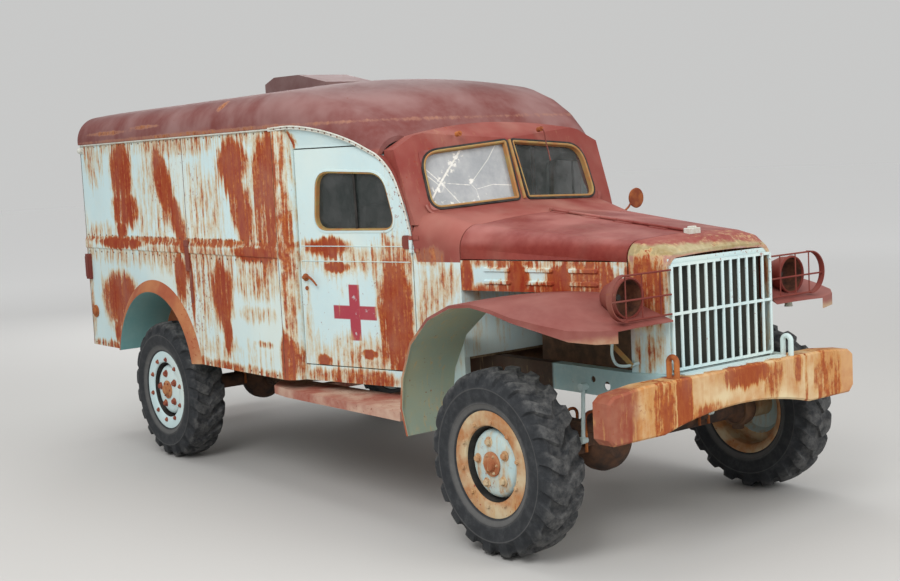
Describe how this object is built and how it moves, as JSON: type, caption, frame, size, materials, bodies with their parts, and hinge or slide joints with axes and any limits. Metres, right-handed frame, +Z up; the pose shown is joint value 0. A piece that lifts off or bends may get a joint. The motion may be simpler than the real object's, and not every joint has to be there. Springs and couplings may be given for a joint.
{
  "type": "military ambulance truck",
  "caption": "Four wheel drive military ambulance truck of the nineteen forties with a box body, a tapered cab, open headlamps, opening doors and hood, faded and rusted.",
  "frame": {"origin": "on the floor, under the middle of the overall length and width", "axes": "+X to the front of the truck, +Y to its left, +Z up"},
  "size_m": [4.94, 1.924, 2.255],
  "materials": {
    "body_paint": "matt, rusted",
    "roof_paint": "matt",
    "rusty_steel": "matt, rusted",
    "frame_paint": "matt, rusted",
    "cast_metal": "rough",
    "tyre_rubber": "dusty",
    "wheel_paint": "matt, rusted",
    "rear_wheel_paint": "matt",
    "window_glass": "dusty",
    "bench_wood": "worn",
    "seat_cover": "worn",
    "dark_plastic": "matt"
  },
  "bodies": {
    "body": {"frame_ladder": "frame_paint", "front_bumper": "rusty_steel", "front_axle": "cast_metal", "rear_axle": "cast_metal", "leaf_springs": "cast_metal", "driveline": "cast_metal", "engine_block": "cast_metal", "fuel_tank": "rusty_steel", "exhaust_pipe": "cast_metal", "cab_shell": "body_paint", "dashboard": "body_paint", "steering_wheel": "dark_plastic", "body_floor": "frame_paint", "roof": "roof_paint", "box_side_right": "body_paint", "box_side_left": "body_paint", "box_rear_frame": "body_paint", "partition": "body_paint", "rear_arches": "rusty_steel", "front_fenders": "roof_paint", "hood_side_panels": "body_paint", "nose_shell": "body_paint", "radiator_core": "cast_metal", "grille_guard": "body_paint", "headlamps": "rusty_steel", "running_boards": "rusty_steel", "windscreen_glass": "window_glass", "seat_frames": "frame_paint", "seat_cushions": "seat_cover", "patient_benches": "bench_wood"},
    "right_cab_door": {"cab_door_right": "body_paint", "cab_door_right_glass": "window_glass"},
    "left_cab_door": {"cab_door_left": "body_paint", "cab_door_left_glass": "window_glass"},
    "right_rear_door": {"rear_door_right": "body_paint", "rear_door_right_glass": "window_glass"},
    "left_rear_door": {"rear_door_left": "body_paint", "rear_door_left_glass": "window_glass"},
    "right_hood": {"hood_right": "roof_paint"},
    "left_hood": {"hood_left": "roof_paint"},
    "folding_step": {"rear_step": "rusty_steel"},
    "right_knuckle": {"knuckle_right": "cast_metal"},
    "left_knuckle": {"knuckle_left": "cast_metal"},
    "front_right_wheel": {"wheel_front_right": "wheel_paint", "tyre_front_right": "tyre_rubber"},
    "front_left_wheel": {"wheel_front_left": "wheel_paint", "tyre_front_left": "tyre_rubber"},
    "rear_right_wheel": {"wheel_rear_right": "rear_wheel_paint", "tyre_rear_right": "tyre_rubber"},
    "rear_left_wheel": {"wheel_rear_left": "rear_wheel_paint", "tyre_rear_left": "tyre_rubber"}
  },
  "joints": [
    {"name": "front_right_spin", "type": "hinge", "parent": "right_knuckle", "child": "front_right_wheel", "pos_m": [1.853, -0.8225, 0.41], "axis": [0, 1, 0], "continuous": true},
    {"name": "front_left_spin", "type": "hinge", "parent": "left_knuckle", "child": "front_left_wheel", "pos_m": [1.853, 0.8225, 0.41], "axis": [0, 1, 0], "continuous": true},
    {"name": "rear_right_spin", "type": "hinge", "parent": "body", "child": "rear_right_wheel", "pos_m": [-1.22, -0.8225, 0.41], "axis": [0, 1, 0], "continuous": true},
    {"name": "rear_left_spin", "type": "hinge", "parent": "body", "child": "rear_left_wheel", "pos_m": [-1.22, 0.8225, 0.41], "axis": [0, 1, 0], "continuous": true},
    {"name": "steer_left", "type": "hinge", "parent": "body", "child": "left_knuckle", "pos_m": [1.853, 0.69, 0.41], "axis": [0, 0, 1], "range_deg": [-28, 28]},
    {"name": "steer_right", "type": "hinge", "parent": "body", "child": "right_knuckle", "pos_m": [1.853, -0.69, 0.41], "axis": [0, 0, 1], "range_deg": [-28, 28]},
    {"name": "right_door_hinge", "type": "hinge", "parent": "body", "child": "right_cab_door", "pos_m": [1.03606, -0.67598, 1.2], "axis": [0, 0, 1], "range_deg": [0, 70]},
    {"name": "left_door_hinge", "type": "hinge", "parent": "body", "child": "left_cab_door", "pos_m": [1.03606, 0.67598, 1.2], "axis": [0, 0, -1], "range_deg": [0, 70]},
    {"name": "right_rear_door_hinge", "type": "hinge", "parent": "body", "child": "right_rear_door", "pos_m": [-2.212, -0.594, 1.25], "axis": [0, 0, 1], "range_deg": [0, 100]},
    {"name": "left_rear_door_hinge", "type": "hinge", "parent": "body", "child": "left_rear_door", "pos_m": [-2.212, 0.594, 1.25], "axis": [0, 0, -1], "range_deg": [0, 100]},
    {"name": "right_hood_hinge", "type": "hinge", "parent": "body", "child": "right_hood", "pos_m": [1.313, 0, 1.44211], "axis": [-0.9949, 0, 0.1013], "range_deg": [0, 65]},
    {"name": "left_hood_hinge", "type": "hinge", "parent": "body", "child": "left_hood", "pos_m": [1.313, 0, 1.44211], "axis": [0.9949, 0, -0.1013], "range_deg": [0, 65]},
    {"name": "step_fold", "type": "hinge", "parent": "body", "child": "folding_step", "pos_m": [-2.232, 0, 0.395], "axis": [0, 1, 0], "range_deg": [0, 90]}
  ],
  "couplings": [
    {"joint": "steer_right", "follows": "steer_left", "ratio": 1}
  ]
}
